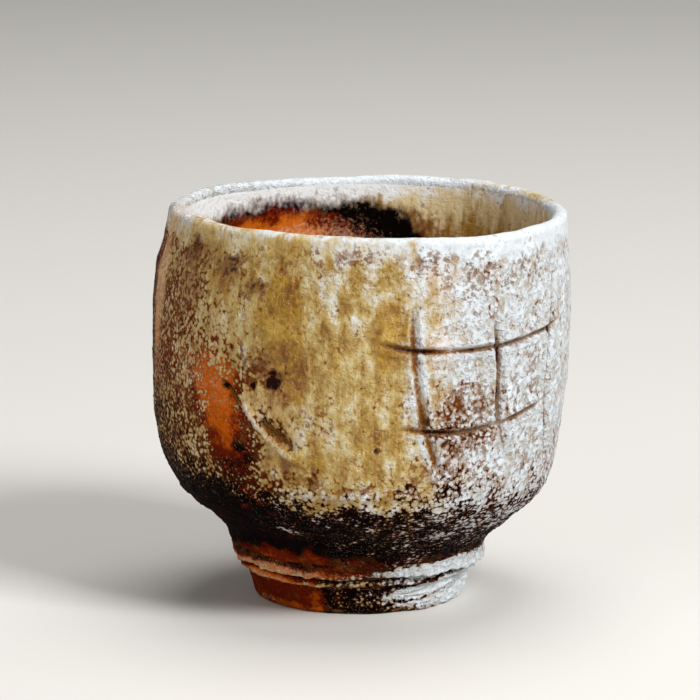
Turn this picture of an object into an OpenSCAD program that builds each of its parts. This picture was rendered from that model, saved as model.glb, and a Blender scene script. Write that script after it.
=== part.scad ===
// A wood-fired stoneware tea cup: a thrown bowl on a foot ring, with the torn
// collar of soft clay where the two are joined, and two coats of ash glass.
// Millimetres. The origin is the centre of the foot, on the table, and +Z is up.
// The face with the long runs of ash looks along -Y, and the sheltered side is -X.

/* [Bowl] */
// Height of the lip above the table
cup_h = 78.5; // [70:0.5:90]
// Radius of the wall at its fullest, over the glaze
belly_r = 41.6; // [37:0.1:45]
// Height of the fullest ring
belly_z = 55.5; // [48:0.5:60]
// Radius of the lip's outer edge
lip_r = 40.1; // [35:0.1:43]
// Radius of the bowl where it leaves the foot
neck_r = 25.1; // [23:0.1:28]
// Steepness of the wall where it leaves the foot, in degrees
neck_slope = 60; // [50:1:75]
// Thickness of the wall at the belly, with its glaze
wall_t = 4.6; // [3:0.1:6]
// Thickness of the lip, with its glaze
lip_t = 3.2; // [2.4:0.1:4]
// Thickness of the floor, with its glaze
floor_t = 6.4; // [5:0.1:8]

/* [Hand of the thrower] */
// How far the lip leans away from the sheltered side
lean = 2.7; // [0:0.1:4]
// How egg-shaped the lip is, as a share of its radius
egg_share = 0.028; // [0:0.005:0.06]
// How much higher the lip is on the sheltered side than at its middle
lip_tilt = 0.6; // [0:0.1:1.5]
// Depth of the flat that a thumb pressed under the lip
flat_depth = 0.9; // [0:0.1:2]
// How far the haunch sags away from the sheltered side
haunch_sag = 1.4; // [0:0.1:2]

/* [Foot] */
// Height of the foot ring, up to its seat under the bowl
foot_h = 8.2; // [7:0.1:11]
// Radius of the foot ring at the table
foot_r = 20.6; // [19:0.1:22]
// Radius of the foot ring at its seat
foot_top_r = 22.9; // [22.2:0.1:24]
// Width of the foot ring at the table
foot_w = 4.4; // [3.6:0.1:5.5]
// Radius of the softened edges of the foot
foot_edge = 0.7; // [0.3:0.1:1.2]
// How much the foot's hollow narrows towards the bowl
well_draft = 1.2; // [0.4:0.1:2]

/* [Collar] */
// Height of the collar's torn lower edge
collar_z = 5.7; // [5.2:0.1:6.3]
// Height of the collar's upper edge, where the bowl begins to show
collar_top_z = 10.7; // [10:0.1:12]
// How far the lower ridge stands out from the foot
low_ridge = 1.5; // [0.8:0.1:2]
// How far the upper ridge stands out from the bowl
high_ridge = 0.9; // [0.5:0.1:1.4]
// How uneven the torn ridges are
tear = 0.35; // [0:0.05:0.6]

/* [Glaze] */
// Thickness of the ash glass on the wall
ash_t = 0.7; // [0.4:0.05:1]
// Thickness of the glaze inside and over the lip
liner_t = 0.45; // [0.3:0.05:0.7]

/* [Hidden] */

// Facets round the bowl and steps along each stretch of its outline
sides = 48;
haunch_steps = 13;
shoulder_steps = 8;
lip_steps = 7;
inner_steps = 7;
floor_steps = 11;
// Facets of the turned foot
$fn = 96;

// The wall's outline. The handles of its curves are shares of the heights that they span.
neck_handle_share = 0.36;
haunch_handle_share = 0.92;
shoulder_handle_share = 0.52;
lip_handle_share = 0.06;
bend_handle_share = 0.86;
floor_handle_share = 0.62;
lip_edge_z = cup_h - lip_t / 2;
floor_z = foot_h + floor_t;
inner_belly_r = belly_r - wall_t;
inner_lip_r = lip_r - lip_t;

function mix(a, b, t) = a + (b - a) * t;
function clamp(v) = max(0, min(1, v));
function ease(v) = clamp(v) * clamp(v) * (3 - 2 * clamp(v));
function bell(v) = exp(-v * v);
function curve(a, b, c, d, t) =
    pow(1 - t, 3) * a + 3 * pow(1 - t, 2) * t * b + 3 * (1 - t) * t * t * c + pow(t, 3) * d;

// Outline of the finished wall, from the collar up, over the lip and down to the floor's centre
neck = [neck_r, collar_top_z];
belly = [belly_r, belly_z];
lip_edge = [lip_r, lip_edge_z];
inner_lip = [inner_lip_r, lip_edge_z];
inner_belly = [inner_belly_r, belly_z];
haunch_h = belly_z - collar_top_z;
shoulder_h = lip_edge_z - belly_z;
bowl_h = belly_z - floor_z;
neck_handle = neck_handle_share * haunch_h * [cos(neck_slope), sin(neck_slope)];
haunch = [for (i = [0 : haunch_steps - 1])
    curve(neck, neck + neck_handle, belly - [0, haunch_handle_share * haunch_h], belly, i / haunch_steps)];
shoulder = [for (i = [0 : shoulder_steps - 1])
    curve(belly, belly + [0, shoulder_handle_share * shoulder_h],
        lip_edge - [0, lip_handle_share * shoulder_h], lip_edge, i / shoulder_steps)];
lip = [for (i = [0 : lip_steps - 1])
    mix(lip_edge, inner_lip, 0.5) + lip_t / 2 * [cos(180 * i / lip_steps), sin(180 * i / lip_steps)]];
inner_shoulder = [for (i = [0 : inner_steps - 1])
    curve(inner_lip, inner_lip - [0, lip_handle_share * shoulder_h],
        inner_belly + [0, shoulder_handle_share * shoulder_h], inner_belly, i / inner_steps)];
inner_bowl = [for (i = [0 : floor_steps])
    curve(inner_belly, inner_belly - [0, bend_handle_share * bowl_h],
        [floor_handle_share * inner_belly_r, floor_z], [0, floor_z], i / floor_steps)];
glazed = concat(haunch, shoulder, lip, inner_shoulder, inner_bowl);

// The clay lies under the glaze by the coat's thickness, square to the surface
lip_start = haunch_steps + shoulder_steps;
lip_end = lip_start + lip_steps;
last = len(glazed) - 1;
function along(i) =
    i == 0 ? [cos(neck_slope), sin(neck_slope)]
    : i == last ? [-1, 0]
    : glazed[i + 1] - glazed[i - 1];
function outward(i) = [along(i)[1], -along(i)[0]] / norm(along(i));
// The ash thins to half at the collar and meets the liner's thickness at the lip
ash_edge_share = 0.5;
ash_ramp = 4;
function coat(i) =
    i >= lip_start ? liner_t
    : mix(ash_t, liner_t, ease((i - lip_start + ash_ramp) / ash_ramp))
        * mix(ash_edge_share, 1, ease(i / ash_ramp));
clay = [for (i = [0 : last]) glazed[i] - coat(i) * outward(i)];

// The thrower's hand: the shape's lean, egg, tilt, thumbed flat and sagging haunch.
// Heights and widths of these are shares of the bowl's height above the collar.
lean_from_share = 0.3;
egg_from_share = 0.45;
flat_from_share = 0.82;
flat_rise_share = 0.09;
flat_half_angle = 48;
sag_at_share = 0.1;
sag_width_share = 0.15;
lean_power = 1.6;
egg_power = 1.5;
tilt_power = 3;
bowl_rise = cup_h - collar_top_z;
function share_up(z, from) = clamp(((z - collar_top_z) / bowl_rise - from) / (1 - from));
function shift(z) =
    lean * pow(share_up(z, lean_from_share), lean_power)
    + haunch_sag * bell(((z - collar_top_z) / bowl_rise - sag_at_share) / sag_width_share)
        * ease((z - collar_top_z) / (sag_at_share * bowl_rise));
function egg(z, a) = 1 - egg_share * pow(share_up(z, egg_from_share), egg_power) * cos(3 * a);
function thumbed(z, a) =
    flat_depth * ease(((z - collar_top_z) / bowl_rise - flat_from_share) / flat_rise_share)
    * bell((a - 180) / flat_half_angle);
function tilted(x, z) = z - lip_tilt * x / lip_r * pow(share_up(z, 0), tilt_power);
function thrown(p, a) =
    let (r = p[0] * egg(p[1], a) - thumbed(p[1], a) * p[0] / lip_r,
         x = r * cos(a) + shift(p[1]))
    [x, r * sin(a), tilted(x, p[1])];

// A solid of rings that follows an outline round the cup. A closed outline makes a ring-shaped
// solid, and one that starts and ends on the axis makes a capped one.
function rings(outline) = [for (p = outline) for (k = [0 : sides - 1]) thrown(p, 360 * k / sides)];
function band(i, j) = [for (k = [0 : sides - 1])
    let (m = (k + 1) % sides)
    each [[i * sides + k, j * sides + m, i * sides + m], [i * sides + k, j * sides + k, j * sides + m]]];
module ring_solid(points, count) {
    polyhedron(points, [for (i = [0 : count - 1]) each band(i, (i + 1) % count)], convexity = 6);
}
// The two poles close a solid whose outline runs from axis to axis
module capped_solid(outline, first_pole, last_pole) {
    count = len(outline);
    first = count * sides;
    polyhedron(
        concat(rings(outline), [thrown(first_pole, 0), thrown(last_pole, 0)]),
        concat(
            [for (k = [0 : sides - 1]) [first, k, (k + 1) % sides]],
            [for (i = [0 : count - 2]) each band(i, i + 1)],
            [for (k = [0 : sides - 1])
                [(count - 1) * sides + k, first + 1, (count - 1) * sides + (k + 1) % sides]]),
        convexity = 6);
}
function part_of(outline, from, to) = [for (i = [from : to]) outline[i]];
function turned_round(outline) = [for (i = [len(outline) - 1 : -1 : 0]) outline[i]];

// The foot's outer wall is a straight flare, so its radius follows from the height
function foot_wall_r(z) = mix(foot_r, foot_top_r, z / foot_h);
// A flat facet passes inside the curve by this factor, so the collar's bore is eased by it
facet_ease = 1 / cos(180 / sides);

module bowl() {
    color("#8a5a3c")
        capped_solid(
            concat([[foot_top_r, foot_h]], part_of(clay, 0, last - 1)),
            [0, foot_h],
            clay[last]);
}

module foot_ring() {
    well_r = foot_r - foot_w;
    color("#7a3a22")
        rotate_extrude()
            polygon([
                [foot_r - foot_edge, 0],
                [foot_wall_r(foot_edge), foot_edge],
                [foot_top_r, foot_h],
                [well_r - well_draft, foot_h],
                [well_r, foot_edge],
                [well_r + foot_edge, 0]]);
}

// Two torn ridges with the joint's dark groove between them, round the seat
module joint_collar() {
    // How many times each torn edge swells on its way round
    low_waves = 5;
    high_waves = 7;
    groove_share = 0.35;
    low_z_share = 0.25;
    high_z_share = 0.74;
    ridge_h = collar_top_z - collar_z;
    low_z = mix(collar_z, collar_top_z, low_z_share);
    high_z = mix(collar_z, collar_top_z, high_z_share);
    high_r = mix(foot_top_r, neck_r, (high_z - foot_h) / (collar_top_z - foot_h));
    function eased(p) = [p[0] * facet_ease, p[1]];
    function ragged(p, wave, a) = thrown([p[0] + tear * sin(wave * a) * cos(a + wave * wave), p[1]], a);
    outline = [
        [eased([foot_wall_r(collar_z), collar_z]), 0],
        [[foot_wall_r(low_z) + low_ridge, low_z], low_waves],
        [[foot_top_r + groove_share * low_ridge, foot_h], 0],
        [[high_r + high_ridge, high_z], high_waves],
        [neck, 0],
        [clay[0], 0],
        [[foot_top_r * facet_ease, foot_h], 0]];
    color("#a8622f")
        ring_solid(
            [for (row = outline) for (k = [0 : sides - 1])
                row[1] == 0 ? thrown(row[0], 360 * k / sides) : ragged(row[0], row[1], 360 * k / sides)],
            len(outline));
}

module ash_glaze() {
    outline = concat(part_of(glazed, 0, lip_end), turned_round(part_of(clay, 0, lip_end)));
    color("#c9b58c")
        ring_solid(rings(outline), len(outline));
}

module liner_glaze() {
    color("#8c4a2a")
        capped_solid(
            concat(turned_round(part_of(clay, lip_end, last - 1)), part_of(glazed, lip_end, last - 1)),
            clay[last],
            glazed[last]);
}

bowl();
foot_ring();
joint_collar();
ash_glaze();
liner_glaze();
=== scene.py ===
import logging
from collections.abc import Iterable, Sequence
from dataclasses import dataclass
from enum import Enum

import bpy
import numpy as np
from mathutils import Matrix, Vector, noise
from numpy.typing import NDArray


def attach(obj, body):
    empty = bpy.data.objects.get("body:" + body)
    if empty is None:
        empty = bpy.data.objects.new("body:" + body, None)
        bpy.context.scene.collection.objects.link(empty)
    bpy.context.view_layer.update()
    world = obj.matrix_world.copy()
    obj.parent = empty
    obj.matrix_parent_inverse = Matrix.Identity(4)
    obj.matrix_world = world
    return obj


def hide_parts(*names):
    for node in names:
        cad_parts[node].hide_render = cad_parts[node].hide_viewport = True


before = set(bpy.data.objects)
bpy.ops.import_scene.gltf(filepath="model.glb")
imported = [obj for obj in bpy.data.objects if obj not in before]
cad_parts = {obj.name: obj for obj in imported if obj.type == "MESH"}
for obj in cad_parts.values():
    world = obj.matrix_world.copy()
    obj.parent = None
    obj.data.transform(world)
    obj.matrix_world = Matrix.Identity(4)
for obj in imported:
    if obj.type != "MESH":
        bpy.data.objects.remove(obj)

Grid = NDArray[np.float64]
Socket = bpy.types.NodeSocket
Material = bpy.types.Material
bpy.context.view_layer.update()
LOG = logging.getLogger("tea_cup")

# The frame is in metres, and the sizes here are in millimetres.
MM = 0.001
# The angle about the axis at which the cup's front lies, from which turns are counted.
FRONT = -90.0


def linear(code: str) -> tuple[float, float, float, float]:
    """Turn an sRGB hex colour into a linear colour with full alpha.

    Args:
        code: Six hex digits after a hash.

    Returns:
        Red, green, blue and alpha, all from 0 to 1.
    """
    parts = [int(code[k:k + 2], 16) / 255 for k in (1, 3, 5)]
    light = [v / 12.92 if v <= 0.04045 else ((v + 0.055) / 1.055) ** 2.4 for v in parts]
    return (light[0], light[1], light[2], 1.0)


def ease(value: Grid) -> Grid:
    """Return a smooth step from 0 to 1 as the value goes from 0 to 1."""
    held = np.clip(value, 0.0, 1.0)
    return held * held * (3.0 - 2.0 * held)


def bell(value: Grid) -> Grid:
    """Return a bell that is 1 at 0 and falls off past 1."""
    return np.exp(-value * value)


@dataclass(frozen=True)
class Swell:
    """Smooth noise over a surface: the width of its swells, its seed, and its height."""

    size: float | tuple[float, float, float]
    seed: float
    high: float = 1.0

    def over(self, places: Grid) -> Grid:
        """Return the swell's height, from about -high to high, at places in millimetres."""
        flat = (places / np.asarray(self.size) + self.seed).reshape(-1, 3).tolist()
        return self.high * np.array([noise.noise(place) for place in flat]).reshape(places.shape[:-1])


def rolled(places: Grid, swells: Iterable[Swell]) -> Grid:
    """Return the height of several swells together."""
    return sum(swell.over(places) for swell in swells)


def bezier(start: Grid, first: Grid, second: Grid, end: Grid, steps: int) -> Grid:
    """Return points along a cubic curve, without its end point."""
    t = (np.arange(steps) / steps)[:, None]
    return (1 - t) ** 3 * start + 3 * (1 - t) ** 2 * t * first + 3 * (1 - t) * t * t * second + t ** 3 * end


def run_along(outline: Grid) -> Grid:
    """Return how far along an outline each of its points lies."""
    return np.r_[0.0, np.cumsum(np.hypot(*np.diff(outline, axis=0).T))]


def spaced(outline: Grid, rows: int) -> Grid:
    """Return an outline's points again, evenly spaced along it.

    Args:
        outline: Radius and height of each point.
        rows: How many points to return.

    Returns:
        Radius and height of each new point.
    """
    run = run_along(outline)
    at = np.linspace(0.0, run[-1], rows)
    return np.stack([np.interp(at, run, outline[:, 0]), np.interp(at, run, outline[:, 1])], axis=1)


def inset(outline: Grid, depth: Grid | float) -> Grid:
    """Move an outline inwards, square to itself.

    Args:
        outline: Radius and height of each point.
        depth: How far each point moves, or all of them.

    Returns:
        Radius and height of each moved point.
    """
    along = np.gradient(outline, axis=0)
    out = np.stack([along[:, 1], -along[:, 0]], axis=1)
    out /= np.linalg.norm(out, axis=1, keepdims=True)
    return outline - out * np.asarray(depth).reshape(-1, 1)


def smooth_way(way: Sequence[tuple[float, float]], steps: int) -> list[tuple[float, float]]:
    """Round a way's corners, keeping its points.

    Args:
        way: Places along the way.
        steps: How many places to return for each stretch between two points.

    Returns:
        The places of the rounded way.
    """
    points = [np.array(p) for p in (way[0], *way, way[-1])]
    rounded: list[tuple[float, float]] = []
    for a, b, c, d in zip(points[:-3], points[1:-2], points[2:-1], points[3:]):
        for t in np.arange(steps) / steps:
            place = b + 0.5 * t * (c - a + t * (2 * a - 5 * b + 4 * c - d + t * (3 * (b - c) + d - a)))
            rounded.append((float(place[0]), float(place[1])))
    return [*rounded, way[-1]]


@dataclass(frozen=True)
class CupForm:
    """The thrown shape in millimetres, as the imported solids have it."""

    height: float = 78.5
    belly_r: float = 41.6
    belly_z: float = 55.5
    lip_r: float = 40.1
    neck_r: float = 25.1
    neck_z: float = 10.7
    neck_slope: float = 60.0
    wall: float = 4.6
    lip: float = 3.2
    floor: float = 6.4
    foot_h: float = 8.2
    foot_r: float = 20.6
    foot_top_r: float = 22.9
    foot_w: float = 4.4
    # What the hand did to the turned shape.
    lean: float = 2.7
    egg: float = 0.028
    tilt: float = 0.6
    flat: float = 0.9
    sag: float = 1.4
    lip_wave: float = 0.32
    waves: tuple[Swell, ...] = (Swell(15.0, 23.0), Swell(4.0, 27.0, 0.3))
    # How deep the coats of glass go, and between which heights the outer one thins to the lip's.
    ash_coat: float = 1.0
    liner_coat: float = 0.45
    coat_thins: tuple[float, float] = (68.0, 75.0)
    # How far each curve's handles reach, as shares of its rise or width.
    haunch_pull: tuple[float, float] = (0.36, 0.92)
    shoulder_pull: tuple[float, float] = (0.52, 0.06)
    floor_pull: tuple[float, float] = (0.86, 0.62)
    # How many points draw the long curves, the shoulder outside and inside, and the lip.
    long_points: int = 160
    shoulder_points: tuple[int, int] = (80, 60)
    lip_points: int = 25

    @property
    def lip_z(self) -> float:
        """Height at which the lip begins to round over."""
        return self.height - self.lip / 2

    @property
    def floor_z(self) -> float:
        """Height of the floor inside."""
        return self.foot_h + self.floor

    def outside(self) -> Grid:
        """Draw the finished outline from the collar to the lip's inner edge.

        Returns:
            Radius and height of each point.
        """
        neck = np.array([self.neck_r, self.neck_z])
        belly = np.array([self.belly_r, self.belly_z])
        edge = np.array([self.lip_r, self.lip_z])
        rise = np.array([0.0, self.belly_z - self.neck_z])
        top = np.array([0.0, self.lip_z - self.belly_z])
        slope = np.radians(self.neck_slope)
        (up, down), (over, under) = self.haunch_pull, self.shoulder_pull
        handle = up * rise[1] * np.array([np.cos(slope), np.sin(slope)])
        haunch = bezier(neck, neck + handle, belly - down * rise, belly, self.long_points)
        shoulder = bezier(belly, belly + over * top, edge - under * top, edge, self.shoulder_points[0])
        turn = np.linspace(0.0, np.pi, self.lip_points)
        middle = edge - np.array([self.lip / 2, 0.0])
        lip = middle + self.lip / 2 * np.stack([np.cos(turn), np.sin(turn)], axis=1)
        return np.concatenate([haunch, shoulder, lip])

    def inside(self) -> Grid:
        """Draw the finished outline from the lip's inner edge to the floor's centre.

        Returns:
            Radius and height of each point.
        """
        edge = np.array([self.lip_r - self.lip, self.lip_z])
        belly = np.array([self.belly_r - self.wall, self.belly_z])
        centre = np.array([0.0, self.floor_z])
        top = np.array([0.0, self.lip_z - self.belly_z])
        drop = np.array([0.0, self.belly_z - self.floor_z])
        (over, under), (down, along) = self.shoulder_pull, self.floor_pull
        bend = np.array([along * belly[0], self.floor_z])
        shoulder = bezier(edge, edge - under * top, belly + over * top, belly, self.shoulder_points[1])
        bowl = bezier(belly, belly - down * drop, bend, centre, self.long_points)
        return np.concatenate([shoulder, bowl, centre[None]])

    def coat_depth(self, outline: Grid) -> Grid:
        """Work out how deep the ash coat goes along the outside outline.

        Args:
            outline: Radius and height of each point.

        Returns:
            A depth for each point.
        """
        deep = np.interp(outline[:, 1], self.coat_thins, (self.ash_coat, self.liner_coat))
        deep[int(np.argmax(outline[:, 1] >= self.lip_z)):] = self.liner_coat
        return deep

    def foot_wall(self, z: float) -> float:
        """Return the foot's outer radius at a height."""
        return self.foot_r + (self.foot_top_r - self.foot_r) * z / self.foot_h

    def thrown(self, r: Grid, z: Grid, turn: Grid) -> Grid:
        """Bend a turned shape as the thrower's hand did.

        Args:
            r: Radius of each place in millimetres.
            z: Height of each place in millimetres.
            turn: Degrees round from the front, positive towards +X.

        Returns:
            Places in millimetres, with x, y and z in the last axis.
        """
        share = (z - self.neck_z) / (self.height - self.neck_z)
        angle = np.radians(turn + FRONT)
        away = np.abs((turn + FRONT) % 360.0 - 180.0)
        # The upper wall goes three-sided, and a thumb flattened it under the lip.
        lobe = 1.0 - self.egg * np.clip((share - 0.45) / 0.55, 0.0, 1.0) ** 1.5 * np.cos(3 * angle)
        flat = self.flat * ease((share - 0.82) / 0.09) * bell(away / 48.0)
        # The whole wall leans to one side, and the haunch sags with it.
        shift = self.lean * np.clip((share - 0.3) / 0.7, 0.0, 1.0) ** 1.6
        shift = shift + self.sag * bell((share - 0.1) / 0.15) * ease(share / 0.1)
        out = r * lobe - flat * r / self.lip_r
        x = out * np.cos(angle) + shift
        y = out * np.sin(angle)
        # The lip tilts and waves.
        up = z - self.tilt * x / self.lip_r * np.clip(share, 0.0, 1.0) ** 3
        wave = rolled(np.stack([x, y, 0.0 * x], axis=-1), self.waves)
        return np.stack([x, y, up + self.lip_wave * wave * ease((share - 0.86) / 0.12)], axis=-1)

    def turned(self, outline: Grid, turn: Grid) -> tuple[Grid, Grid, Grid, Grid]:
        """Turn an outline round the axis.

        Args:
            outline: Radius and height of each row.
            turn: Degrees of each column.

        Returns:
            Radius, height and turn of each place, and the thrown places.
        """
        r, t = np.meshgrid(outline[:, 0], turn, indexing="ij")
        z = np.broadcast_to(outline[:, 1:2], r.shape)
        return r, z, t, self.thrown(r, z, t)

    def pole(self, z: float) -> Grid:
        """Return the place on the axis at a height."""
        return self.thrown(np.zeros(1), np.array([z]), np.zeros(1))[0]


@dataclass(frozen=True)
class Patch:
    """A soft oval on the wall, placed by its turn in degrees and its rise above the table in millimetres.

    Wide and tall are its half measures, tip turns it in degrees, and a higher hard gives it a firmer edge.
    """

    turn: float
    rise: float
    wide: float
    tall: float
    strength: float = 1.0
    tip: float = 0.0
    hard: float = 2.0


@dataclass(frozen=True)
class Stroke:
    """A line drawn in the clay, with a furrow and the burr that is pushed up beside it.

    The way is given by turn and rise. Stain is how dark the furrow is coloured, partly glass pooled in it and
    partly painted shade in the groove, and crust how white its burr is coloured, partly ash and partly a
    painted highlight on the raised edge.
    """

    way: tuple[tuple[float, float], ...]
    width: float
    depth: float
    burr: float = 0.0
    stain_and_shade: float = 1.0
    crust: float = 0.3


@dataclass
class Survey:
    """Where each vertex of a skin lies on the cup, for placing marks on it.

    Run is the distance along the outline, and the stops say which rise has which run.
    """

    turn: Grid
    rise: Grid
    run: Grid
    radius: Grid
    rise_stops: Grid
    run_stops: Grid

    def offsets(self, turn: float, rise: float) -> tuple[Grid, Grid]:
        """Measure how far each vertex lies from a place.

        Args:
            turn: Turn of the place.
            rise: Rise of the place.

        Returns:
            Millimetres round, and millimetres up the wall.
        """
        round_by = (self.turn - turn + 180.0) % 360.0 - 180.0
        up = self.run - np.interp(rise, self.rise_stops, self.run_stops)
        return np.radians(round_by) * self.radius, up

    def patches(self, marks: Iterable[Patch]) -> Grid:
        """Add up several patches.

        Args:
            marks: The patches.

        Returns:
            Their strength at each vertex.
        """
        total = np.zeros_like(self.rise)
        for mark in marks:
            across, up = self.offsets(mark.turn, mark.rise)
            tip = np.radians(mark.tip)
            u = across * np.cos(tip) + up * np.sin(tip)
            v = up * np.cos(tip) - across * np.sin(tip)
            reach = (u / mark.wide) ** 2 + (v / mark.tall) ** 2
            total += mark.strength * np.exp(-reach ** (mark.hard / 2))
        return total

    def stroke(self, mark: Stroke) -> tuple[Grid, Grid]:
        """Trace a stroke over the vertices.

        Args:
            mark: The stroke.

        Returns:
            How far inside its furrow each vertex lies, and how far up its banks, from 0 to 1.
        """
        nearest = np.full(self.rise.shape, np.inf)
        share = np.zeros(self.rise.shape)
        way = smooth_way(mark.way, 8)
        for k, (start, end) in enumerate(zip(way[:-1], way[1:])):
            across, up = self.offsets(*start)
            climb = up - self.offsets(*end)[1]
            step = np.stack([np.radians(end[0] - start[0]) * self.radius, climb], axis=-1)
            length = np.maximum(np.sum(step * step, axis=-1), 1e-9)
            t = np.clip((across * step[..., 0] + up * step[..., 1]) / length, 0.0, 1.0)
            gap = np.hypot(across - t * step[..., 0], up - t * step[..., 1])
            share = np.where(gap < nearest, (k + t) / (len(way) - 1), share)
            nearest = np.minimum(gap, nearest)
        fade = ease(share / 0.2) * ease((1.0 - share) / 0.2)
        bank = bell((nearest - 1.8 * mark.width) / (0.75 * mark.width))
        return bell(nearest / mark.width) * fade, bank * fade


class Mask(Enum):
    """What the kiln did to the surface, kept on each vertex for the finishes to read."""

    ASH = "ash"  # how thick the ash lies
    BONE = "bone"  # how dry and white it is
    MELT = "melt"  # how far it ran
    FLASH = "flash"  # how orange the flame left the clay
    BLUSH = "blush"  # how pink the clay is
    CHAR = "char"  # how black the clay is
    SMOKE = "smoke"  # how much soot the glass holds
    CUT = "cut"  # how dark a cut, pit or cleft is coloured, partly pooled glass and bare clay, partly painted shade in the hollow
    DRAG = "drag"  # how far the specks are drawn round
    GRIT = "grit"  # how many beads stand out
    HILL = "hill"  # how high the crust's lumps are


@dataclass(frozen=True)
class FiringMap:
    """Where the fire, ash and shelter of the kiln marked one side of the wall.

    Levels give each mask by rise, marks add patches to it, and both stray by about the ragged distance.
    """

    levels: dict[Mask, tuple[tuple[float, float], ...]]
    marks: dict[Mask, tuple[Patch, ...]]
    ragged: float = 1.6
    sideways: tuple[Swell, ...] = (Swell(6.0, 3.1), Swell(2.2, 7.7, 0.5))
    upwards: tuple[Swell, ...] = (Swell(6.0, 11.3), Swell(2.2, 17.9, 0.5))

    def read(self, survey: Survey, places: Grid) -> dict[Mask, Grid]:
        """Work out every mask at each vertex.

        Args:
            survey: Where the vertices lie on the cup.
            places: The vertices in millimetres.

        Returns:
            One value for each vertex, by mask.
        """
        drift = self.ragged * rolled(places, self.sideways)
        climb = self.ragged * rolled(places, self.upwards)
        moved = Survey(survey.turn + np.degrees(drift / np.maximum(survey.radius, 1.0)), survey.rise + climb,
                       survey.run + climb, survey.radius, survey.rise_stops, survey.run_stops)
        masks = {}
        for mask in Mask:
            stops = np.array(self.levels.get(mask, ((0.0, 0.0),)))
            level = np.interp(moved.rise, stops[:, 0], stops[:, 1])
            masks[mask] = level + moved.patches(self.marks.get(mask, ()))
        return masks


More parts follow.
